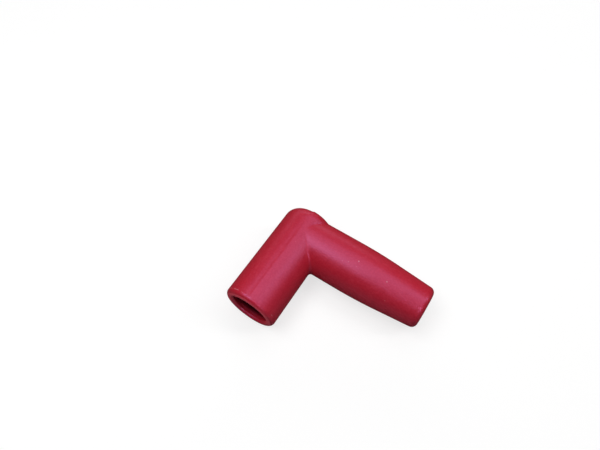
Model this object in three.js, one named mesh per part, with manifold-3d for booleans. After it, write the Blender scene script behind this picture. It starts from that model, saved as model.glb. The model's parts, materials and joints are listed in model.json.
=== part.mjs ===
// Right-angle spark plug cap, one moulding of red silicone rubber.
//
// The plug leg runs along Y with its mouth toward -Y and its closed end toward +Y. The wire leg
// runs along +X. Both axes are level and cross at one point, so the cap lies on its side, as it
// does when it is put down. All lengths are in millimetres. The legs are shaped about the
// crossing of their axes, and the mesh then stands over the middle of its own outline, on z = 0.

import * as THREE from "three";
import { ParametricGeometry } from "three/addons/geometries/ParametricGeometry.js";
import { mergeVertices } from "three/addons/utils/BufferGeometryUtils.js";
import Module from "manifold-3d";

// Plug leg, outside
const PLUG_RADIUS = 10.75;
const PLUG_REACH = 36.2; // from the crossing to the mouth's face
const MOUTH_EDGE = 1.8; // rounding round the mouth
const CAP_REACH = 9.95; // from the crossing to the middle of the closed end
const CAP_CROWN = 8; // degrees by which the domed end slopes where its edge rounding begins
const CAP_EDGE_BACK = 4.9; // rounding of the closed end, in the mould half away from the wire leg
const CAP_EDGE_FRONT = 3.9; // the same in the mould half that holds the wire leg

// Wire leg, outside
const WIRE_RADIUS = 10.35;
const WIRE_REACH = 55.1; // from the crossing to the wire entry's face
const TAPER_START = 21.7; // from the crossing to where the leg begins to narrow
const TAPER_BLEND = 17.3; // length over which the narrowing builds up to its full slope
const TIP_RADIUS = 8.25;
const TIP_EDGE = 2.4; // rounding round the wire entry

// Inside corner between the legs
const CROTCH_RADIUS = 1.3;

// Plug socket: a flared mouth, a sealing lip, a skirt, the insulator bore and the terminal's room
const FLARE_RADIUS = 8.35;
const FLARE_DEPTH = 0.35;
const LIP_RADIUS = 7.75;
const LIP_BEAD = 0.6; // radius of the lip's round section
const LIP_PROUD = 0.25; // how far the lip stands in from the skirt
const SKIRT_DEPTH = 8.5; // from the mouth's face
const SHOULDER_LENGTH = 1.6; // slope between the skirt and the insulator bore
const INSULATOR_RADIUS = 5.8;
const INSULATOR_DEPTH = 26.5; // from the mouth's face
const STEP_LENGTH = 1.2; // slope between the insulator bore and the terminal's room
const TERMINAL_RADIUS = 4.5;

// Wire socket
const WIRE_BORE_RADIUS = 3.8;
const WIRE_BORE_CHAMFER = 0.7;

// Fineness
const ROUND_STEPS = 48; // sides of every revolved form
const EDGE_STEPS = 6; // facets across a rounded edge
const CROWN_STEPS = 3; // facets from the edge of the domed end to its middle
const BALL_STEPS = 9; // facets from the pole of a ball to its widest ring
const TAPER_STEPS = 6; // rings along the part of the taper that bends
const WEB_STEPS = 20; // sections along the inside corner
const WEB_FACETS = 6; // facets across the inside corner
const MERGE_DISTANCE = 1e-4;

// Small overlaps that keep joins and cuts clear of each other's faces
const OVERRUN = 1.0; // how far a cutting form runs past the face that it opens
const WEB_SINK = 0.05; // how far the corner web starts under the legs' flat facets
const WEB_ROOT = 1.6; // depth of the web's root, in corner depths

const wasm = await Module();
wasm.setup();

// Turns a closed three.js geometry into a solid that can be joined and cut.
function solidFrom(geometry) {
  const bare = geometry.clone();
  bare.deleteAttribute("normal");
  bare.deleteAttribute("uv");
  const merged = mergeVertices(bare, MERGE_DISTANCE);
  return new wasm.Manifold(new wasm.Mesh({
    numProp: 3,
    vertProperties: new Float32Array(merged.attributes.position.array),
    triVerts: new Uint32Array(merged.index.array),
  }));
}

function geometryFrom(solid) {
  const mesh = solid.getMesh();
  const geometry = new THREE.BufferGeometry();
  geometry.setAttribute("position", new THREE.BufferAttribute(mesh.vertProperties, 3));
  geometry.setIndex(new THREE.BufferAttribute(mesh.triVerts, 1));
  return geometry;
}

// Profile points on an arc. A profile point is (distance from the axis, height along the axis),
// and the angles are in degrees, from straight out (0) to straight up the axis (90).
function arc(centreRadius, centreHeight, radius, fromAngle, toAngle, steps) {
  const points = [];
  for (let step = 0; step <= steps; step++) {
    const angle = THREE.MathUtils.degToRad(THREE.MathUtils.lerp(fromAngle, toAngle, step / steps));
    points.push(new THREE.Vector2(
      centreRadius + radius * Math.cos(angle),
      centreHeight + radius * Math.sin(angle),
    ));
  }
  return points;
}

const at = (radius, height) => new THREE.Vector2(radius, height);

// A profile turned about the Y axis; it starts and ends on the axis.
const revolved = (profile) => new THREE.LatheGeometry(profile, ROUND_STEPS);

// The same, laid along +X.
const revolvedAlongX = (profile) => revolved(profile).rotateZ(-Math.PI / 2);

// The plug leg's outside. Its closed end is a shallow dome that runs into an edge rounding of
// radius capEdge without a corner.
function plugLegOutside(capEdge) {
  const crown = THREE.MathUtils.degToRad(CAP_CROWN);
  const domeRadius = (PLUG_RADIUS - capEdge) / Math.sin(crown) + capEdge;
  const domeCentre = CAP_REACH - domeRadius;
  const edgeCentre = domeCentre + (domeRadius - capEdge) * Math.cos(crown);
  return revolved([
    at(0, -PLUG_REACH),
    ...arc(PLUG_RADIUS - MOUTH_EDGE, -PLUG_REACH + MOUTH_EDGE, MOUTH_EDGE, -90, 0, EDGE_STEPS),
    ...arc(PLUG_RADIUS - capEdge, edgeCentre, capEdge, 0, 90 - CAP_CROWN, EDGE_STEPS),
    ...arc(0, domeCentre, domeRadius, 90 - CAP_CROWN, 90, CROWN_STEPS),
  ]);
}

// The two halves of the mould meet in the plane of the plug leg's axis and round the closed end
// a little differently, so the fuller end is added on the wire leg's side of that plane only.
function plugLeg() {
  const span = 2 * (PLUG_RADIUS + OVERRUN);
  const frontHalf = new THREE.BoxGeometry(span, CAP_REACH + OVERRUN, span);
  frontHalf.translate(span / 2, (CAP_REACH + OVERRUN) / 2, 0);
  const frontCap = solidFrom(plugLegOutside(CAP_EDGE_FRONT)).intersect(solidFrom(frontHalf));
  return solidFrom(plugLegOutside(CAP_EDGE_BACK)).add(frontCap);
}

// Radius of the wire leg at a distance from the crossing: straight, then a slope that builds up
// evenly over the blend, then that slope kept to the tip.
function wireLegRadius(distance) {
  const past = Math.max(distance - TAPER_START, 0);
  const slope = (WIRE_RADIUS - TIP_RADIUS) / (WIRE_REACH - TAPER_START - TAPER_BLEND / 2);
  const drop = past < TAPER_BLEND ? past ** 2 / (2 * TAPER_BLEND) : past - TAPER_BLEND / 2;
  return WIRE_RADIUS - slope * drop;
}

// The wire leg starts as a ball round the crossing, which rounds the outside of the elbow.
function wireLeg() {
  const edgeStart = WIRE_REACH - TIP_EDGE;
  const edgeRadius = wireLegRadius(edgeStart);
  const taper = [];
  for (let step = 0; step <= TAPER_STEPS; step++) {
    const distance = TAPER_START + TAPER_BLEND * (step / TAPER_STEPS);
    if (distance < edgeStart) taper.push(at(wireLegRadius(distance), distance));
  }
  return solidFrom(revolvedAlongX([
    ...arc(0, 0, WIRE_RADIUS, -90, 0, BALL_STEPS),
    ...taper,
    ...arc(edgeRadius - TIP_EDGE, edgeStart, TIP_EDGE, 0, 90, EDGE_STEPS),
    at(0, WIRE_REACH),
  ]));
}

// The web that rounds the inside corner. A ball of the corner's radius rolls along the corner
// and touches both legs; the web fills what lies between the ball and the legs. It starts and
// ends where the top and bottom of the wire leg meet the plug leg almost without a corner.
function cornerWeb() {
  const plugPath = PLUG_RADIUS + CROTCH_RADIUS;
  const wirePath = WIRE_RADIUS + CROTCH_RADIUS;
  const touch = CROTCH_RADIUS + WEB_SINK;
  const place = (along, across, target) => {
    const turn = THREE.MathUtils.lerp(-Math.PI / 2, Math.PI / 2, along);
    const height = wirePath * Math.sin(turn);
    const reach = Math.sqrt(Math.max(plugPath ** 2 - height ** 2, 0));
    const ball = new THREE.Vector3(reach, -wirePath * Math.cos(turn), height);
    const toPlug = new THREE.Vector3(-ball.x, 0, -ball.z).setLength(touch);
    const toWire = new THREE.Vector3(0, -ball.y, -ball.z).setLength(touch);
    const section = Math.round(across * (WEB_FACETS + 2));
    const atEnd = along === 0 || along === 1;
    if (atEnd || section === 0 || section === WEB_FACETS + 2) {
      target.copy(toPlug).add(toWire).multiplyScalar(WEB_ROOT).add(ball);
      return;
    }
    const hinge = new THREE.Vector3().crossVectors(toWire, toPlug).normalize();
    const angle = toWire.angleTo(toPlug) * ((section - 1) / WEB_FACETS);
    target.copy(toWire).applyAxisAngle(hinge, angle).add(ball);
  };
  return solidFrom(new ParametricGeometry(place, WEB_STEPS, WEB_FACETS + 2));
}

// Everything that the spark plug fills, from the open mouth to a ball end round the crossing.
function plugSocket() {
  const mouth = -PLUG_REACH;
  const lipHeight = mouth + FLARE_DEPTH + LIP_BEAD;
  const lipCentre = LIP_RADIUS + LIP_BEAD;
  const lipSpread = THREE.MathUtils.radToDeg(Math.acos((LIP_BEAD - LIP_PROUD) / LIP_BEAD));
  const skirtRadius = LIP_RADIUS + LIP_PROUD;
  const skirtEnd = mouth + SKIRT_DEPTH;
  const insulatorEnd = mouth + INSULATOR_DEPTH;
  return solidFrom(revolved([
    at(0, mouth - OVERRUN),
    at(FLARE_RADIUS, mouth - OVERRUN),
    at(FLARE_RADIUS, mouth),
    ...arc(lipCentre, lipHeight, LIP_BEAD, 180 + lipSpread, 180 - lipSpread, EDGE_STEPS),
    at(skirtRadius, skirtEnd),
    at(INSULATOR_RADIUS, skirtEnd + SHOULDER_LENGTH),
    at(INSULATOR_RADIUS, insulatorEnd),
    at(TERMINAL_RADIUS, insulatorEnd + STEP_LENGTH),
    ...arc(0, 0, TERMINAL_RADIUS, 0, 90, BALL_STEPS),
  ]));
}

// The wire's bore, from the chamfered entry to the terminal's room.
function wireSocket() {
  return solidFrom(revolvedAlongX([
    at(0, 0),
    at(WIRE_BORE_RADIUS, 0),
    at(WIRE_BORE_RADIUS, WIRE_REACH - WIRE_BORE_CHAMFER),
    at(WIRE_BORE_RADIUS + WIRE_BORE_CHAMFER, WIRE_REACH),
    at(WIRE_BORE_RADIUS + WIRE_BORE_CHAMFER, WIRE_REACH + OVERRUN),
    at(0, WIRE_REACH + OVERRUN),
  ]));
}

function elbowBoot() {
  const outside = plugLeg().add(wireLeg()).add(cornerWeb());
  const geometry = geometryFrom(outside.subtract(plugSocket()).subtract(wireSocket()));
  const rubber = new THREE.MeshStandardMaterial({ color: 0xb32440, roughness: 0.55, metalness: 0 });
  const mesh = new THREE.Mesh(geometry, rubber);
  mesh.name = "elbow_boot";
  geometry.computeBoundingBox();
  const { min, max } = geometry.boundingBox;
  mesh.position.set(-(min.x + max.x) / 2, -(min.y + max.y) / 2, -min.z);
  return mesh;
}

const sparkPlugCap = new THREE.Group();
sparkPlugCap.name = "spark_plug_cap";
sparkPlugCap.add(elbowBoot());

export default sparkPlugCap;
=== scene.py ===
"""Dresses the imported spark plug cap: one moulding of red silicone rubber on a pale studio floor."""
import json
import math

import bmesh
import bpy
from bpy.props import FloatProperty, FloatVectorProperty, IntProperty, PointerProperty
from mathutils import Matrix, Vector

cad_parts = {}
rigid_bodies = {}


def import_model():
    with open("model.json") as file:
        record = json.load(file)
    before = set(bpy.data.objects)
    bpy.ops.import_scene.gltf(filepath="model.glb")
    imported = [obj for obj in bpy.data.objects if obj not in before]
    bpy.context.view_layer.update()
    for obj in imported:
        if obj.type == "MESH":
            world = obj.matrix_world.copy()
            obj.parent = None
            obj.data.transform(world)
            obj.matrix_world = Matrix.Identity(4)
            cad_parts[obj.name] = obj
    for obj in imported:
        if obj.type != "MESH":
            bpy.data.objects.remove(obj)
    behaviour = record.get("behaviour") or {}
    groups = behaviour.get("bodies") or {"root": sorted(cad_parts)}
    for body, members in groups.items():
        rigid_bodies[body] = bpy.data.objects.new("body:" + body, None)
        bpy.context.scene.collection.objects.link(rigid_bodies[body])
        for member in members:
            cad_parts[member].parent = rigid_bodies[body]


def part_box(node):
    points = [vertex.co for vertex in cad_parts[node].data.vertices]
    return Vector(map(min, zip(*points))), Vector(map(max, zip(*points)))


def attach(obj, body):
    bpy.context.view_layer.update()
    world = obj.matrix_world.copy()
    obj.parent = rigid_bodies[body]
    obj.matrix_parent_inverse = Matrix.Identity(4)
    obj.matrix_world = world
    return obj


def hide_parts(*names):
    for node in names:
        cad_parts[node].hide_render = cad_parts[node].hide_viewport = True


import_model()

bl_info = {
    "name": "Moulded Elbow Cap",
    "version": (1, 0, 0),
    "blender": (4, 5, 0),
    "location": "3D View > Sidebar > Elbow Cap",
    "description": "Moulds a right-angle rubber cap over its construction model and lights it",
    "category": "Object",
}

CAD_NODE = "elbow_boot"
BODY = "root"
RUBBER_SLOT = "red_silicone"
PIECE = "moulded_cap"
MM = 0.001
# A length too small to see: how far the corner's web sinks into the legs, and how near to an axis
# a point counts as on it.
HAIR = MM / 100
# Points nearer than this many metres are one point.
SAME_PLACE = 1e-7
ALONG_PLUG = Vector((0, 1, 0))
ALONG_WIRE = Vector((1, 0, 0))

# Straight pieces in each arc of the profiles, and along the wire leg's taper.
MOUTH_FACETS = 10
EDGE_FACETS = 16
DOME_FACETS = 6
BALL_FACETS = 24
TAPER_RINGS = 24
TIP_FACETS = 12
LIP_FACETS = 10
ROOM_FACETS = 12

# The web of the inside corner: facets of its section, sections along it, degrees from its middle
# to its ends, and how many ball radii its root reaches into the rubber.
WEB_FACETS = 8
WEB_SECTIONS = 88
WEB_END = 88
WEB_ROOT = 1.6

# Past these shares of the plug leg's radius a point is on the outside, from the axis or along it.
SKIN_SHARE = 0.86
DOME_SHARE = 0.8

# Moulding pips on the wire leg: metres from the crossing of the axes, and degrees from the top.
PIPS = ((0.026, 5.7), (0.0385, 13.3))
# A pip's foot and the patch of divided skin round it, in pip radii, and the cuts in that patch.
PIP_FOOT = 2
PIP_PATCH = 3
PIP_CUTS = 3

# From the crossing of the legs' axes to the plug mouth, in metres. The construction model's box
# gives the rest: the legs' radii, where their axes cross, and the wire leg's reach.
PLUG_REACH = 0.0362
LOW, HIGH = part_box(CAD_NODE)
PLUG_RADIUS = (HIGH.z - LOW.z) / 2
CROSSING = Vector((LOW.x + PLUG_RADIUS, LOW.y + PLUG_REACH, LOW.z + PLUG_RADIUS))
WIRE_REACH = HIGH.x - CROSSING.x
WIRE_RADIUS = HIGH.y - CROSSING.y


def length(label, about, default):
    """A size in metres that a user can change."""
    return FloatProperty(name=label, description=about, default=default, precision=5,
                         unit="LENGTH", subtype="DISTANCE")


class CapOutside(bpy.types.PropertyGroup):
    """Sizes of the outside that the construction model's box doesn't give."""
    mouth_edge: length("Mouth Edge", "Rounding round the plug mouth", 0.0018)
    cap_reach: length("Closed End", "From the crossing to the middle of the closed end", 0.00995)
    cap_crown: FloatProperty(name="Crown", description="Slope of the domed end at its edge rounding",
                             default=math.radians(8), unit="ROTATION", subtype="ANGLE")
    back_edge: length("Back Edge", "Closed end's rounding away from the wire leg", 0.0049)
    front_edge: length("Front Edge", "Closed end's rounding on the wire leg's side", 0.0039)
    edge_blend: length("Edge Blend", "Width over which one edge rounding turns into the other", 0.0009)
    taper_start: length("Taper Start", "From the crossing to where the wire leg narrows", 0.0217)
    taper_blend: length("Taper Blend", "Length over which the narrowing builds up", 0.0173)
    tip_radius: length("Tip Radius", "Radius of the wire leg at its tip", 0.00825)
    tip_edge: length("Tip Edge", "Rounding round the wire entry", 0.0024)
    root_rise: length("Root Rise", "How much higher than wide the wire leg is at its root", 0.0002)
    corner_radius: length("Corner Radius", "Rounding of the inside corner between the legs", 0.0013)


class CapSockets(bpy.types.PropertyGroup):
    """Sizes of the plug socket and the wire socket."""
    flare_radius: length("Flare Radius", "Radius of the flared mouth", 0.00835)
    flare_depth: length("Flare Depth", "Depth of the flared mouth", 0.00035)
    lip_radius: length("Lip Radius", "Inner radius of the sealing lip", 0.00775)
    lip_bead: length("Lip Bead", "Radius of the sealing lip's section", 0.0006)
    lip_proud: length("Lip Height", "How far the sealing lip stands in from the skirt", 0.00025)
    skirt_depth: length("Skirt Depth", "From the mouth to the end of the skirt", 0.0085)
    shoulder: length("Shoulder", "Slope between the skirt and the insulator bore", 0.0016)
    insulator_radius: length("Insulator Radius", "Radius of the insulator bore", 0.0058)
    insulator_depth: length("Insulator Depth", "From the mouth to the end of that bore", 0.0265)
    step: length("Step", "Slope between the insulator bore and the terminal's room", 0.0012)
    terminal_radius: length("Terminal Radius", "Radius of the terminal's room", 0.0045)
    wire_radius: length("Wire Bore", "Radius of the wire's bore", 0.0038)
    wire_chamfer: length("Wire Chamfer", "Chamfer of the wire's bore", 0.0007)


class CapSkin(bpy.types.PropertyGroup):
    """How fine the skin is, and the marks that the mould leaves in it."""
    columns: IntProperty(name="Columns", description="Sides of each turned form", default=160)
    grain: length("Grain", "Size of the skin's faces", 0.00035)
    softening: FloatProperty(name="Softening", description="Smoothing of every edge", default=0.3,
                             min=0, max=1, subtype="FACTOR")
    seam_step: length("Seam Step", "Step between the mould's halves at the parting line", 0.00014)
    seam_width: length("Seam Width", "Width of that step", 0.0011)
    seam_reach: length("Seam Reach", "Width over which the lower half rises again", 0.006)
    pip_radius: length("Pip Radius", "Radius of the small moulding pips", 0.00025)
    pip_height: length("Pip Height", "Height of the small moulding pips", 0.00007)


class CapRubber(bpy.types.PropertyGroup):
    """Colour and gloss of the silicone rubber."""
    body: FloatVectorProperty(name="Rubber", description="Colour of the rubber", subtype="COLOR",
                              size=3, min=0, max=1, default=(0.442, 0.0082, 0.0203))
    # Bloom colour: the real chalky bloom of the clouds and mottle, and also the painted light on the
    # mouth's rim.
    bloom_and_rim_light: FloatVectorProperty(name="Bloom", description="Colour where the skin is chalky",
                               subtype="COLOR", size=3, min=0, max=1, default=(0.85, 0.09, 0.125))
    # Colour of the real dust specks and pale pip spots, and of the painted highlight streaks on the
    # mouth's edge.
    dust_and_glint_colour: FloatVectorProperty(name="Dust Colour", description="Colour of the specks",
                                     subtype="COLOR", size=3, min=0, max=1, default=(0.7, 0.3, 0.35))
    sheen: FloatVectorProperty(name="Gloss Tint", description="Tint of what the skin reflects",
                               subtype="COLOR", size=3, min=0, max=1, default=(0.96, 0.465, 1.0))
    roughness: FloatProperty(name="Roughness", description="Roughness of the skin", default=0.4,
                             min=0, max=1, subtype="FACTOR")
    unevenness: FloatProperty(name="Unevenness", description="How far the roughness varies",
                              default=0.03, min=0, max=1, subtype="FACTOR")
    polish: FloatProperty(name="Bore Polish", description="Bore's roughness as a share of the skin's",
                          default=0.45, min=0, max=1, subtype="FACTOR")
    gloss: FloatProperty(name="Gloss", description="Strength of the skin's reflection", default=0.72,
                         min=0, max=1, subtype="FACTOR")
    clouding: FloatProperty(name="Clouding", description="How far the clouds blend to the bloom",
                            default=0.03, min=0, max=1, subtype="FACTOR")
    mottle: FloatProperty(name="Mottle", description="How far the fine mottle blends to the bloom",
                          default=0.1, min=0, max=1, subtype="FACTOR")
    # Chalk here is painted light: it lifts the top of the mouth's rim toward the bloom colour.
    painted_rim_light: FloatProperty(name="Chalk", description="How chalky the mouth's rim is", default=0.7,
                         min=0, max=1, subtype="FACTOR")
    # Strength of those specks and spots and of the painted highlight streaks.
    dust_and_glints: FloatProperty(name="Dust", description="Strength of the specks", default=0.5,
                        min=0, max=1, subtype="FACTOR")
    # Soot here is painted shade: the bore's skin is darkened where little light reaches into it.
    bore_shade: FloatProperty(name="Soot", description="How dark the bore's skin is", default=0.85,
                        min=0, max=1, subtype="FACTOR")
    grain_depth: length("Grain Depth", "Depth of the moulded grain", 0.00005)


class CapWear(bpy.types.PropertyGroup):
    """Where the mouth's rim gets painted light, the bore painted shade and the mouth's outer edge
    painted highlight streaks, where the skin is clouded, and how large the marks are.
    """
    # Rim radius, rim depth and fade bound the painted light on the mouth's rim; the fade also softens
    # the bore's edge.
    rim_radius: length("Rim Radius", "From the axis to where the mouth's chalk ends", 0.0101)
    rim_depth: length("Rim Depth", "From the mouth to where its chalk ends", 0.0014)
    # Painted shade in the bore: it starts to darken at the first depth and is darkest at the second.
    bore_shade_start: length("Soot Start", "From the mouth to where the bore begins to darken", 0.001)
    bore_shade_full: length("Soot Full", "From the mouth to where the bore is darkest", 0.0035)
    fade: length("Fade", "Width over which the chalk fades out", 0.0005)
    cloud: length("Cloud Size", "Size of the faint clouds", 0.006)
    mottle: length("Mottle Size", "Size of the fine mottle", 0.0007)
    pores: length("Pore Size", "Size of the moulded grain", 0.0005)
    speck_spacing: length("Speck Spacing", "Distance between specks", 0.004)
    speck_radius: length("Speck Radius", "Radius of a speck", 0.0002)
    pip_mark: length("Pip Mark", "Radius of the pale mark on a pip", 0.0004)
    # Scuffs here are painted highlight: short glint streaks on the top of the mouth's outer edge.
    glint_depth: length("Scuff Depth", "From the mouth to the scuffs on its outer edge", 0.0019)
    glint_width: length("Scuff Width", "Width of a scuff", 0.0005)
    glint_length: length("Scuff Length", "Length of a scuff", 0.0025)


class CapStage(bpy.types.PropertyGroup):
    """Camera, floor and lights."""
    azimuth: FloatProperty(name="Azimuth", description="Camera's turn round the cap",
                           default=math.radians(33.12), unit="ROTATION", subtype="ANGLE")
    elevation: FloatProperty(name="Elevation", description="Camera's height over the floor",
                             default=math.radians(60.24), unit="ROTATION", subtype="ANGLE")
    distance: length("Distance", "From the camera to the crossing of the axes", 0.1939)
    aside: length("Aside", "How far left of the crossing the camera looks", 0.00053)
    above: length("Above", "How far above the crossing the camera looks", 0.00544)
    lens: FloatProperty(name="Lens", description="Focal length in millimetres", default=28.8)
    power: FloatProperty(name="Power", description="Factor on every soft box's power", default=1)
    room: FloatProperty(name="Room Light", description="Strength of the light from all round",
                        default=0.01)
    backdrop: FloatProperty(name="Backdrop", description="How bright the camera sees the wall",
                            default=0.9)
    floor_bounce: FloatProperty(name="Floor Bounce", description="Floor's share of light sent back",
                                default=0.62, min=0, max=1, subtype="FACTOR")
    floor_mirror: FloatProperty(name="Floor Image", description="The same in the cap's gloss",
                                default=0.03, min=0, max=1, subtype="FACTOR")
    floor_glow: FloatProperty(name="Floor Glow", description="Glow that only the camera sees",
                              default=0.72)


# Layers of ever finer noise in each kind of mark.
CLOUD_LAYERS = 3
MOTTLE_LAYERS = 2
GLINT_LAYERS = 1
PORE_LAYERS = 3
WAVE_LAYERS = 2
# Where the noise of each kind of mark starts to show, and where it shows fully.
CLOUD_RANGE = (0.35, 0.75)
MOTTLE_RANGE = (0.35, 0.7)
GLINT_RANGE = (0.55, 0.62)
# Heights over the plug leg's axis between which the painted light on the mouth's rim and its painted
# highlight streaks fade in.
RIM_LIGHT_HEIGHTS = (-0.7 * PLUG_RADIUS, 0)
GLINT_HEIGHTS = (PLUG_RADIUS / 3, PLUG_RADIUS / 2)
# Shares of a spot's and of a speck's radius that are its full middle, and how many times broader
# than the pores the skin's waves are.
SPOT_MIDDLE = 0.4
SPECK_MIDDLE = 0.3
WAVES = 5

# Sockets of a colour Mix node.
MIX_SHARE = 0
MIX_FIRST = 6
MIX_SECOND = 7
MIX_RESULT = 2

# The camera's sensor in millimetres, and what lies nearer than this many metres isn't seen.
SENSOR = 36
NEAREST = 0.01

# The floor: its width in metres, roughness, gloss, and the grey that only the camera sees.
FLOOR_SIZE = 6
FLOOR_ROUGHNESS = 0.9
FLOOR_GLOSS = 0.1
FLOOR_GREY = 0.3
WHITE = (1, 1, 1, 1)
BLACK = (0, 0, 0, 1)

# Soft boxes: metres to the camera's right, toward the camera and up, degrees tipped up from
# facing the floor, width and depth in metres, and watts.
SOFT_BOXES = {
    "left": (-0.28, 0.02, 0.6, 0, 0.29, 0.43, 2.4),
    "top": (0.1, -0.16, 0.6, 0, 0.42, 0.55, 1.3),
    "right": (0.89, -0.03, 0.6, 0, 1.29, 0.14, 3.9),
    "back": (-0.06, -1.6, 0.6, 0, 1.8, 0.63, 13.6),
    "front": (0.0, 0.9, 0.35, 80, 0.8, 0.5, 0.1),
    "kicker": (0.156, 0.382, 0.43, 42, 0.15, 0.15, 1.0),
}
# The kicker only shows in the gloss: as a line in the inside corner and a glint on the lip.
GLOSS_ONLY = ("kicker",)


def release_selection():
    """Leaves nothing selected and nothing active."""
    if bpy.context.object and bpy.context.object.mode != "OBJECT":
        bpy.ops.object.mode_set(mode="OBJECT")
    for piece in bpy.context.view_layer.objects:
        piece.select_set(False)
    bpy.context.view_layer.objects.active = None


def take(piece):
    """Makes one piece the only selected and the active one."""
    release_selection()
    piece.select_set(True)
    bpy.context.view_layer.objects.active = piece


def arc(centre_radius, centre_height, radius, from_angle, to_angle, steps):
    """Profile points (distance from the axis, height along it) on an arc, angles in degrees."""
    points = []
    for step in range(steps + 1):
        angle = math.radians(from_angle + (to_angle - from_angle) * step / steps)
        points.append((centre_radius + radius * math.cos(angle),
                       centre_height + radius * math.sin(angle)))
    return points


def turned(name, profile, axis, columns):
    """A closed solid: the profile is drawn by extruding a point, then spun once round the axis."""
    release_selection()
    bpy.ops.mesh.primitive_plane_add(size=MM, location=(0, 0, 0))
    piece = bpy.context.object
    piece.name = name
    bpy.ops.object.mode_set(mode="EDIT")
    bpy.ops.mesh.select_all(action="SELECT")
    bpy.ops.mesh.merge(type="CENTER")
    places = [CROSSING + axis * height + Vector((0, 0, radius)) for radius, height in profile]
    bpy.ops.transform.translate(value=places[0])
    for start, end in zip(places, places[1:]):
        bpy.ops.mesh.extrude_region_move(TRANSFORM_OT_translate={"value": end - start})
    bpy.ops.mesh.select_all(action="SELECT")
    bpy.ops.mesh.spin(steps=columns, angle=2 * math.pi, center=CROSSING, axis=axis)
    bpy.ops.mesh.select_all(action="SELECT")
    bpy.ops.mesh.remove_doubles(threshold=SAME_PLACE)
    bpy.ops.mesh.normals_make_consistent(inside=False)
    bpy.ops.object.mode_set(mode="OBJECT")
    return piece


def combine(piece, other, operation):
    """Joins the other solid to the piece or cuts it out, and removes the other."""
    take(piece)
    cut = piece.modifiers.new("combine", "BOOLEAN")
    cut.operation = operation
    cut.solver = "MANIFOLD"
    cut.object = other
    bpy.ops.object.modifier_apply(modifier=cut.name)
    bpy.data.objects.remove(other, do_unlink=True)
    if len(piece.data.polygons) == 0:
        raise RuntimeError("nothing is left after " + operation)


def plug_profile(shape, edge):
    """Outside of the plug leg, from its mouth to its domed end with that edge rounding."""
    crown = shape.cap_crown
    dome = (PLUG_RADIUS - edge) / math.sin(crown) + edge
    dome_centre = shape.cap_reach - dome
    edge_centre = dome_centre + (dome - edge) * math.cos(crown)
    mouth = shape.mouth_edge
    turn = 90 - math.degrees(crown)
    return [
        (0, -PLUG_REACH),
        *arc(PLUG_RADIUS - mouth, mouth - PLUG_REACH, mouth, -90, 0, MOUTH_FACETS),
        *arc(PLUG_RADIUS - edge, edge_centre, edge, 0, turn, EDGE_FACETS),
        *arc(0, dome_centre, dome, turn, 90, DOME_FACETS),
    ]


def plug_leg(shape, columns):
    """The plug leg, whose closed end is fuller in the mould half that holds the wire leg."""
    back = plug_profile(shape, shape.back_edge)
    front = plug_profile(shape, shape.front_edge)
    share_at_parting = 0.5
    piece = turned(PIECE, back, ALONG_PLUG, columns)
    for vertex in piece.data.vertices:
        offset = vertex.co - CROSSING
        share = smooth(offset.x / shape.edge_blend + share_at_parting)
        radius = math.hypot(offset.x, offset.z)
        if share == 0 or radius < HAIR:
            continue
        ring = min(range(len(back)), key=lambda index: math.dist(back[index], (radius, offset.y)))
        wider = 1 + (front[ring][0] / radius - 1) * share
        height = offset.y + (front[ring][1] - offset.y) * share
        vertex.co = CROSSING + Vector((offset.x * wider, height, offset.z * wider))
    return piece


def wire_radius_at(shape, distance):
    """Radius of the wire leg: straight, then a slope that builds up over the blend and stays."""
    past = max(distance - shape.taper_start, 0)
    blend = shape.taper_blend
    slope = (WIRE_RADIUS - shape.tip_radius) / (WIRE_REACH - shape.taper_start - blend / 2)
    drop = past ** 2 / (2 * blend) if past < blend else past - blend / 2
    return WIRE_RADIUS - slope * drop


def wire_profile(shape):
    """Outside of the wire leg, from a ball round the crossing to its rounded tip."""
    edge_start = WIRE_REACH - shape.tip_edge
    edge_radius = wire_radius_at(shape, edge_start)
    taper = []
    for ring in range(TAPER_RINGS):
        distance = shape.taper_start + (edge_start - shape.taper_start) * ring / TAPER_RINGS
        taper.append((wire_radius_at(shape, distance), distance))
    return [
        *arc(0, 0, WIRE_RADIUS, -90, 0, BALL_FACETS),
        *taper,
        *arc(edge_radius - shape.tip_edge, edge_start, shape.tip_edge, 0, 90, TIP_FACETS),
        (0, WIRE_REACH),
    ]


def smooth(share):
    """Eases a share of 0 to 1 in and out, and holds it at 0 and 1 beyond."""
    share = min(max(share, 0), 1)
    return share * share * (3 - 2 * share)


def wire_leg(shape, columns):
    """The wire leg, whose root stands a little higher than it is wide."""
    piece = turned("wire_leg", wire_profile(shape), ALONG_WIRE, columns)
    for vertex in piece.data.vertices:
        offset = vertex.co - CROSSING
        share = smooth((shape.taper_start - offset.x) / (shape.taper_start - PLUG_RADIUS))
        vertex.co.z += offset.z / WIRE_RADIUS * shape.root_rise * share
    return piece


def plug_socket_profile(sockets):
    """What the spark plug fills, from the flared mouth to a ball end round the crossing."""
    mouth = -PLUG_REACH
    past = mouth - MM
    lip_height = mouth + sockets.flare_depth + sockets.lip_bead
    lip_centre = sockets.lip_radius + sockets.lip_bead
    spread = math.degrees(math.acos(1 - sockets.lip_proud / sockets.lip_bead))
    skirt_end = mouth + sockets.skirt_depth
    insulator_end = mouth + sockets.insulator_depth
    return [
        (0, past),
        (sockets.flare_radius, past),
        (sockets.flare_radius, mouth),
        *arc(lip_centre, lip_height, sockets.lip_bead, 180 + spread, 180 - spread, LIP_FACETS),
        (sockets.lip_radius + sockets.lip_proud, skirt_end),
        (sockets.insulator_radius, skirt_end + sockets.shoulder),
        (sockets.insulator_radius, insulator_end),
        (sockets.terminal_radius, insulator_end + sockets.step),
        *arc(0, 0, sockets.terminal_radius, 0, 90, ROOM_FACETS),
    ]


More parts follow.
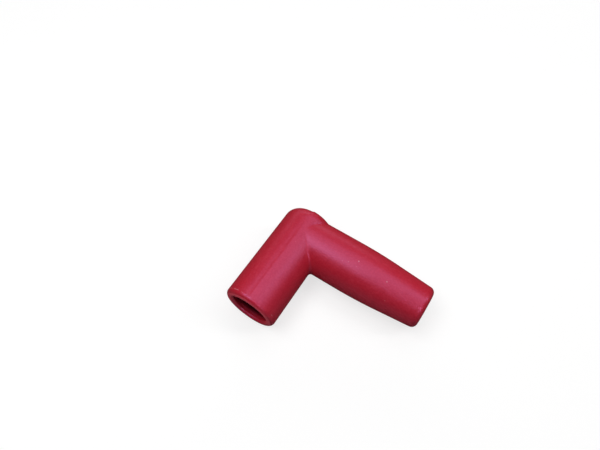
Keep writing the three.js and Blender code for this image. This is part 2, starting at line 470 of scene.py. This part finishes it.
def wire_socket_profile(sockets):
    """What the wire fills, from the crossing to its chamfered entry."""
    entry = sockets.wire_radius + sockets.wire_chamfer
    return [
        (0, 0),
        (sockets.wire_radius, 0),
        (sockets.wire_radius, WIRE_REACH - sockets.wire_chamfer),
        (entry, WIRE_REACH),
        (entry, WIRE_REACH + MM),
        (0, WIRE_REACH + MM),
    ]


def web_section(shape, angle):
    """The web's section where a ball that rolls along the corner touches the wire leg that many
    degrees above its middle: a point in the rubber, then the ball's arc from leg to leg."""
    turn = math.radians(angle)
    tall = WIRE_RADIUS + shape.root_rise
    touch = Vector((0, -WIRE_RADIUS * math.cos(turn), tall * math.sin(turn)))
    from_wire = Vector((0, touch.y / WIRE_RADIUS ** 2, touch.z / tall ** 2)).normalized()
    ball = touch + from_wire * shape.corner_radius
    ball.x = math.sqrt((PLUG_RADIUS + shape.corner_radius) ** 2 - ball.z ** 2)
    to_wire = -from_wire
    to_plug = -Vector((ball.x, 0, ball.z)).normalized()
    reach = shape.corner_radius + HAIR
    ways = [(to_wire + to_plug) * WEB_ROOT * reach]
    for facet in range(WEB_FACETS + 1):
        ways.append(to_wire.slerp(to_plug, facet / WEB_FACETS) * reach)
    return [CROSSING + ball + way for way in ways]


def corner_web(shape):
    """The web that rounds the inside corner, pulled along it section by section."""
    sections = []
    for step in range(WEB_SECTIONS + 1):
        sections.append(web_section(shape, WEB_END * (2 * step / WEB_SECTIONS - 1)))
    release_selection()
    bpy.ops.mesh.primitive_circle_add(vertices=len(sections[0]), radius=MM, fill_type="NGON")
    piece = bpy.context.object
    piece.name = "corner_web"
    for vertex, place in zip(piece.data.vertices, sections[0]):
        vertex.co = place
    bpy.ops.object.mode_set(mode="EDIT")
    bpy.ops.mesh.select_all(action="SELECT")
    for start, end in zip(sections, sections[1:]):
        bpy.ops.mesh.extrude_region_move()
        mesh = bmesh.from_edit_mesh(piece.data)
        for vertex in mesh.verts:
            if vertex.select:
                corner = min(range(len(start)), key=lambda index: (vertex.co - start[index]).length)
                vertex.co = end[corner]
        bmesh.update_edit_mesh(piece.data)
    bpy.ops.mesh.select_all(action="SELECT")
    bpy.ops.mesh.normals_make_consistent(inside=False)
    bpy.ops.object.mode_set(mode="OBJECT")
    return piece


def raw_moulding(cap):
    """Both legs joined over the corner's web, with both sockets cut out of them."""
    shape, sockets, columns = cap.outside, cap.sockets, cap.skin.columns
    piece = plug_leg(shape, columns)
    combine(piece, wire_leg(shape, columns), "UNION")
    combine(piece, corner_web(shape), "UNION")
    plug_room = turned("plug_room", plug_socket_profile(sockets), ALONG_PLUG, columns)
    combine(piece, plug_room, "DIFFERENCE")
    wire_room = turned("wire_room", wire_socket_profile(sockets), ALONG_WIRE, columns)
    combine(piece, wire_room, "DIFFERENCE")
    return piece


def apply_modifier(piece, name, kind, **values):
    """Adds a modifier with these values and applies it."""
    take(piece)
    modifier = piece.modifiers.new(name, kind)
    for key, value in values.items():
        setattr(modifier, key, value)
    bpy.ops.object.modifier_apply(modifier=modifier.name)


def skin_over(piece, skin):
    """Wraps the raw moulding in even faces that lie on it, and takes the edge off every corner."""
    raw = piece.copy()
    raw.data = piece.data.copy()
    bpy.context.scene.collection.objects.link(raw)
    apply_modifier(piece, "skin", "REMESH", mode="VOXEL", voxel_size=skin.grain)
    apply_modifier(piece, "lay", "SHRINKWRAP", target=raw)
    apply_modifier(piece, "soften", "SMOOTH", factor=skin.softening)
    bpy.data.objects.remove(raw, do_unlink=True)


def outside_of_plug_leg(place):
    """Whether a point of the skin is on the outside, and not in the plug socket."""
    from_axis = math.hypot(place.x - CROSSING.x, place.z - CROSSING.z)
    return from_axis > PLUG_RADIUS * SKIN_SHARE or place.y > CROSSING.y + PLUG_RADIUS * DOME_SHARE


def step_seam(piece, skin):
    """Sets the mould half away from the wire leg a little lower, from the parting line on. The
    step fades out over one radius, half of it on each side of the crossing of the axes."""
    fade_end = CROSSING.y + PLUG_RADIUS / 2
    normals = [vertex.normal.copy() for vertex in piece.data.vertices]
    for vertex, normal in zip(piece.data.vertices, normals):
        past = CROSSING.x + skin.seam_width / 2 - vertex.co.x
        if past < 0 or past > skin.seam_reach or not outside_of_plug_leg(vertex.co):
            continue
        drop = smooth(past / skin.seam_width) * smooth(1 - past / skin.seam_reach)
        before_dome = smooth((fade_end - vertex.co.y) / PLUG_RADIUS)
        vertex.co -= normal * skin.seam_step * drop * before_dome


def pip_places(shape):
    """Middles of the moulding pips on the wire leg's skin."""
    places = []
    for distance, angle in PIPS:
        turn = math.radians(angle)
        radius = wire_radius_at(shape, distance)
        places.append(CROSSING + Vector((distance, -radius * math.sin(turn), radius * math.cos(turn))))
    return places


def raise_pips(piece, skin, places):
    """Divides the skin round every pip's place and lifts a small round nub there."""
    take(piece)
    bpy.ops.object.mode_set(mode="EDIT")
    bpy.ops.mesh.select_mode(type="FACE")
    mesh = bmesh.from_edit_mesh(piece.data)
    reach = PIP_PATCH * skin.pip_radius
    for face in mesh.faces:
        centre = face.calc_center_median()
        face.select_set(any((centre - place).length < reach for place in places))
    bmesh.update_edit_mesh(piece.data)
    bpy.ops.mesh.subdivide(number_cuts=PIP_CUTS)
    bpy.ops.object.mode_set(mode="OBJECT")
    normals = [vertex.normal.copy() for vertex in piece.data.vertices]
    for vertex, normal in zip(piece.data.vertices, normals):
        away = min((vertex.co - place).length for place in places)
        vertex.co += normal * skin.pip_height * smooth(1 - away / (PIP_FOOT * skin.pip_radius))


def node(tree, kind, inputs, **settings):
    """A shader node with these settings; each input is a value or the socket that feeds it."""
    made = tree.nodes.new(kind)
    for key, value in settings.items():
        setattr(made, key, value)
    for key, value in inputs.items():
        if isinstance(value, bpy.types.NodeSocket):
            tree.links.new(value, made.inputs[key])
        else:
            made.inputs[key].default_value = value
    return made


def math_node(tree, operation, first, second):
    """The socket with the result of an operation on two values, or on sockets that give them."""
    return node(tree, "ShaderNodeMath", {0: first, 1: second}, operation=operation).outputs[0]


def mixed(tree, share, first, second):
    """Blends two colours, or the sockets that give them."""
    inputs = {MIX_SHARE: share, MIX_FIRST: first, MIX_SECOND: second}
    return node(tree, "ShaderNodeMix", inputs, data_type="RGBA").outputs[MIX_RESULT]


def grey(level):
    """An opaque grey of that level."""
    return (level, level, level, 1)


def ramp(tree, value, low, high):
    """Rises smoothly from 0 at low to 1 at high; with low over high it falls."""
    inputs = {"Value": value, "From Min": low, "From Max": high}
    made = node(tree, "ShaderNodeMapRange", inputs, interpolation_type="SMOOTHSTEP")
    return made.outputs["Result"]


def blotches(tree, place, size, detail):
    """Soft noise of 0 to 1, in blotches of about that size."""
    inputs = {"Vector": place, "Scale": 1 / size, "Detail": detail}
    return node(tree, "ShaderNodeTexNoise", inputs).outputs["Fac"]


def near_mouth(tree, place):
    """How far a point lies from the plug leg's axis, behind the mouth's face and over the axis."""
    offset = node(tree, "ShaderNodeVectorMath", {0: place, 1: CROSSING}, operation="SUBTRACT")
    split = node(tree, "ShaderNodeSeparateXYZ", {0: offset.outputs["Vector"]})
    across = node(tree, "ShaderNodeVectorMath", {0: offset.outputs["Vector"], 1: (1, 0, 1)},
                  operation="MULTIPLY")
    radius = node(tree, "ShaderNodeVectorMath", {0: across.outputs["Vector"]}, operation="LENGTH")
    depth = math_node(tree, "ADD", split.outputs["Y"], PLUG_REACH)
    return radius.outputs["Value"], depth, split.outputs["Z"]


def all_of(tree, *masks):
    """Where every one of the masks is 1."""
    whole = masks[0]
    for mask in masks[1:]:
        whole = math_node(tree, "MULTIPLY", whole, mask)
    return whole


def spots(tree, place, middles, radius):
    """Soft round spots on the skin at these places, 1 in their middle."""
    whole = 0.0
    for middle in middles:
        away = node(tree, "ShaderNodeVectorMath", {0: place, 1: middle}, operation="DISTANCE")
        spot = ramp(tree, away.outputs["Value"], radius, SPOT_MIDDLE * radius)
        whole = math_node(tree, "MAXIMUM", whole, spot)
    return whole


def specks(tree, place, spacing, radius):
    """Sparse round specks, 1 in their middle, where a random point lies close under the skin."""
    cells = node(tree, "ShaderNodeTexVoronoi", {"Vector": place, "Scale": 1 / spacing})
    middle = SPECK_MIDDLE * radius / spacing
    return ramp(tree, cells.outputs["Distance"], radius / spacing, middle)


def painted_edge_glints(tree, place, wear, radius, depth, height):
    """Painted highlight: short glint streaks along the top of the mouth's outer edge."""
    half = wear.glint_width / 2
    outside = ramp(tree, radius, wear.rim_radius, wear.rim_radius + half)
    past = ramp(tree, depth, wear.glint_depth - half, wear.glint_depth)
    before = ramp(tree, depth, wear.glint_depth + half, wear.glint_depth)
    top = ramp(tree, height, *GLINT_HEIGHTS)
    broken = ramp(tree, blotches(tree, place, wear.glint_length, GLINT_LAYERS), *GLINT_RANGE)
    return all_of(tree, outside, past, before, top, broken)


def rubber_colour(tree, place, rubber, wear, rim, bore, specks_and_glints):
    """The rubber's colour: faintly clouded, with painted light on the top of the mouth's rim, specks
    and painted highlight streaks, and painted shade in the bore.
    """
    clouds = ramp(tree, blotches(tree, place, wear.cloud, CLOUD_LAYERS), *CLOUD_RANGE)
    fine = ramp(tree, blotches(tree, place, wear.mottle, MOTTLE_LAYERS), *MOTTLE_RANGE)
    cloudy = math_node(tree, "MULTIPLY", clouds, rubber.clouding)
    # Painted light: the rim mask lifts the top of the mouth's rim toward the bloom colour; the faint
    # clouds it is joined with are real.
    painted_rim_light = math_node(tree, "MAXIMUM", cloudy, math_node(tree, "MULTIPLY", rim, rubber.painted_rim_light))
    colour = mixed(tree, painted_rim_light, (*rubber.body, 1), (*rubber.bloom_and_rim_light, 1))
    mottle = math_node(tree, "MULTIPLY", fine, rubber.mottle)
    colour = mixed(tree, mottle, colour, (*rubber.bloom_and_rim_light, 1))
    # Dust specks, pale pip spots and the painted highlight streaks of the mouth's edge.
    dust_and_glints = math_node(tree, "MULTIPLY", specks_and_glints, rubber.dust_and_glints)
    colour = mixed(tree, dust_and_glints, colour, (*rubber.dust_and_glint_colour, 1))
    # Painted shade: deep in the bore the colour is darkened toward black.
    bore_shade = math_node(tree, "MULTIPLY", bore, rubber.bore_shade)
    return mixed(tree, bore_shade, colour, BLACK)


def rubber_material(rubber, wear, sockets, pips):
    """Satin silicone rubber with a fine moulded grain, faint clouds, a few specks, painted highlight
    streaks on the mouth's edge, painted light on its rim and painted shade in the bore.
    """
    material = bpy.data.materials.new(RUBBER_SLOT)
    material.use_nodes = True
    tree = material.node_tree
    shader = tree.nodes["Principled BSDF"]
    place = node(tree, "ShaderNodeTexCoord", {}).outputs["Object"]
    radius, depth, height = near_mouth(tree, place)
    # Painted light on the mouth's rim, full over the axis and faded out toward the rim's bottom.
    rim = all_of(tree, ramp(tree, radius, wear.rim_radius, wear.rim_radius - wear.fade),
                 ramp(tree, depth, wear.rim_depth, wear.rim_depth - wear.fade),
                 ramp(tree, height, *RIM_LIGHT_HEIGHTS))
    # The deep bore: painted shade darkens its colour, and its roughness is polished.
    inside = ramp(tree, radius, sockets.flare_radius, sockets.flare_radius - wear.fade / 2)
    bore = all_of(tree, inside, ramp(tree, depth, wear.bore_shade_start, wear.bore_shade_full),
                  ramp(tree, depth, PLUG_REACH + sockets.terminal_radius, PLUG_REACH))
    specks_and_glints = specks(tree, place, wear.speck_spacing, wear.speck_radius)
    specks_and_glints = math_node(tree, "MAXIMUM", specks_and_glints, spots(tree, place, pips, wear.pip_mark))
    # Painted highlight streaks along the top of the mouth's outer edge.
    specks_and_glints = math_node(tree, "MAXIMUM", specks_and_glints, painted_edge_glints(tree, place, wear, radius, depth, height))
    colour = rubber_colour(tree, place, rubber, wear, rim, bore, specks_and_glints)
    uneven = {"Value": blotches(tree, place, wear.cloud, CLOUD_LAYERS),
              "To Min": rubber.roughness - rubber.unevenness,
              "To Max": rubber.roughness + rubber.unevenness}
    skin = node(tree, "ShaderNodeMapRange", uneven).outputs["Result"]
    polish = node(tree, "ShaderNodeMapRange", {"Value": bore, "To Min": 1.0, "To Max": rubber.polish})
    rough = math_node(tree, "MULTIPLY", skin, polish.outputs["Result"])
    pores = blotches(tree, place, wear.pores, PORE_LAYERS)
    waves = blotches(tree, place, WAVES * wear.pores, WAVE_LAYERS)
    relief = {"Height": math_node(tree, "ADD", pores, waves), "Distance": rubber.grain_depth,
              "Strength": 1.0}
    bump = node(tree, "ShaderNodeBump", relief)
    tree.links.new(colour, shader.inputs["Base Color"])
    tree.links.new(rough, shader.inputs["Roughness"])
    tree.links.new(bump.outputs["Normal"], shader.inputs["Normal"])
    shader.inputs["Specular IOR Level"].default_value = rubber.gloss
    shader.inputs["Specular Tint"].default_value = (*rubber.sheen, 1)
    return material


class CAP_OT_mould(bpy.types.Operator):
    """Moulds the rubber cap over its construction model"""
    bl_idname = "elbow_cap.mould"
    bl_label = "Mould Cap"

    def execute(self, context):
        cap = context.scene.elbow_cap
        piece = raw_moulding(cap)
        skin_over(piece, cap.skin)
        step_seam(piece, cap.skin)
        pips = pip_places(cap.outside)
        raise_pips(piece, cap.skin, pips)
        if len(piece.data.polygons) == 0:
            raise RuntimeError("the moulding has no faces")
        take(piece)
        bpy.ops.object.shade_smooth()
        piece.data.materials.clear()
        piece.data.materials.append(rubber_material(cap.rubber, cap.wear, cap.sockets, pips))
        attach(piece, BODY)
        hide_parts(CAD_NODE)
        return {"FINISHED"}


def place_camera(stage):
    """A camera at the photograph's viewing angle, which looks past the crossing of the axes."""
    turn, rise = stage.azimuth, stage.elevation
    right = Vector((math.cos(turn), math.sin(turn), 0))
    back = Vector((math.sin(turn) * math.cos(rise), -math.cos(turn) * math.cos(rise), math.sin(rise)))
    up = back.cross(right)
    place = CROSSING + back * stage.distance - right * stage.aside + up * stage.above
    camera = bpy.data.objects.new("camera", bpy.data.cameras.new("camera"))
    camera.data.lens = stage.lens
    camera.data.sensor_width = SENSOR
    camera.data.clip_start = NEAREST
    bpy.context.scene.collection.objects.link(camera)
    camera.matrix_world = Matrix.Translation(place) @ Matrix((right, up, back)).transposed().to_4x4()
    bpy.context.scene.camera = camera


def soft_box(name, stage):
    """One of the soft boxes, turned round the cap with the camera."""
    aside, forward, height, tip, width, depth, power = SOFT_BOXES[name]
    lamp = bpy.data.lights.new(name, "AREA")
    lamp.shape = "RECTANGLE"
    lamp.size = width
    lamp.size_y = depth
    lamp.energy = power * stage.power
    light = bpy.data.objects.new(name, lamp)
    light.visible_diffuse = name not in GLOSS_ONLY
    place = Matrix.Translation((aside, -forward, height))
    tipped = Matrix.Rotation(math.radians(tip), 4, "X")
    light.matrix_world = Matrix.Rotation(stage.azimuth, 4, "Z") @ place @ tipped
    bpy.context.scene.collection.objects.link(light)


def floor_material(stage):
    """White to the camera; to the cap a pale floor that its gloss hardly mirrors."""
    material = bpy.data.materials.new("studio_floor")
    material.use_nodes = True
    tree = material.node_tree
    shader = tree.nodes["Principled BSDF"]
    shader.inputs["Roughness"].default_value = FLOOR_ROUGHNESS
    shader.inputs["Specular IOR Level"].default_value = FLOOR_GLOSS
    shader.inputs["Emission Color"].default_value = WHITE
    path = node(tree, "ShaderNodeLightPath", {})
    bounced = mixed(tree, path.outputs["Is Glossy Ray"], grey(stage.floor_bounce),
                    grey(stage.floor_mirror))
    colour = mixed(tree, path.outputs["Is Camera Ray"], bounced, grey(FLOOR_GREY))
    glow = math_node(tree, "MULTIPLY", path.outputs["Is Camera Ray"], stage.floor_glow)
    tree.links.new(colour, shader.inputs["Base Color"])
    tree.links.new(glow, shader.inputs["Emission Strength"])
    return material


def studio_room(stage):
    """A faint light from all round, which the camera sees as a pale wall."""
    room = bpy.data.worlds.new("studio")
    room.use_nodes = True
    tree = room.node_tree
    backdrop = tree.nodes["Background"]
    backdrop.inputs["Color"].default_value = WHITE
    path = node(tree, "ShaderNodeLightPath", {})
    seen = node(tree, "ShaderNodeMapRange", {"Value": path.outputs["Is Camera Ray"],
                                             "To Min": stage.room, "To Max": stage.backdrop})
    tree.links.new(seen.outputs["Result"], backdrop.inputs["Strength"])
    return room


class CAP_OT_stage(bpy.types.Operator):
    """Adds the pale floor, the soft lights and the camera"""
    bl_idname = "elbow_cap.stage"
    bl_label = "Set Stage"

    def execute(self, context):
        stage = context.scene.elbow_cap.stage
        release_selection()
        bpy.ops.mesh.primitive_plane_add(size=FLOOR_SIZE, location=(0, 0, LOW.z))
        floor = context.object
        floor.name = "floor"
        floor.data.materials.append(floor_material(stage))
        context.scene.world = studio_room(stage)
        for name in SOFT_BOXES:
            soft_box(name, stage)
        context.scene.view_settings.view_transform = "Standard"
        place_camera(stage)
        return {"FINISHED"}


class ElbowCap(bpy.types.PropertyGroup):
    """All that can be changed on the cap and its stage."""
    outside: PointerProperty(type=CapOutside)
    sockets: PointerProperty(type=CapSockets)
    skin: PointerProperty(type=CapSkin)
    rubber: PointerProperty(type=CapRubber)
    wear: PointerProperty(type=CapWear)
    stage: PointerProperty(type=CapStage)


class CAP_PT_panel(bpy.types.Panel):
    """Lists the steps and the sizes in the sidebar"""
    bl_label = "Elbow Cap"
    bl_idname = "CAP_PT_panel"
    bl_space_type = "VIEW_3D"
    bl_region_type = "UI"
    bl_category = "Elbow Cap"

    def draw(self, context):
        layout = self.layout
        layout.operator("elbow_cap.mould")
        layout.operator("elbow_cap.stage")
        cap = context.scene.elbow_cap
        for group in (cap.outside, cap.sockets, cap.skin, cap.rubber, cap.wear, cap.stage):
            box = layout.box()
            for name in group.bl_rna.properties.keys():
                if name not in ("rna_type", "name"):
                    box.prop(group, name)


CLASSES = (CapOutside, CapSockets, CapSkin, CapRubber, CapWear, CapStage, ElbowCap,
           CAP_OT_mould, CAP_OT_stage, CAP_PT_panel)


def register():
    """Makes the add-on's classes known and hangs its settings on the scene."""
    for cls in CLASSES:
        bpy.utils.register_class(cls)
    bpy.types.Scene.elbow_cap = PointerProperty(type=ElbowCap)


def unregister():
    """Takes the settings and the classes away again."""
    del bpy.types.Scene.elbow_cap
    for cls in reversed(CLASSES):
        bpy.utils.unregister_class(cls)


def main():
    register()
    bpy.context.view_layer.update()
    bpy.ops.elbow_cap.mould()
    bpy.ops.elbow_cap.stage()


if __name__ == "__main__":
    main()
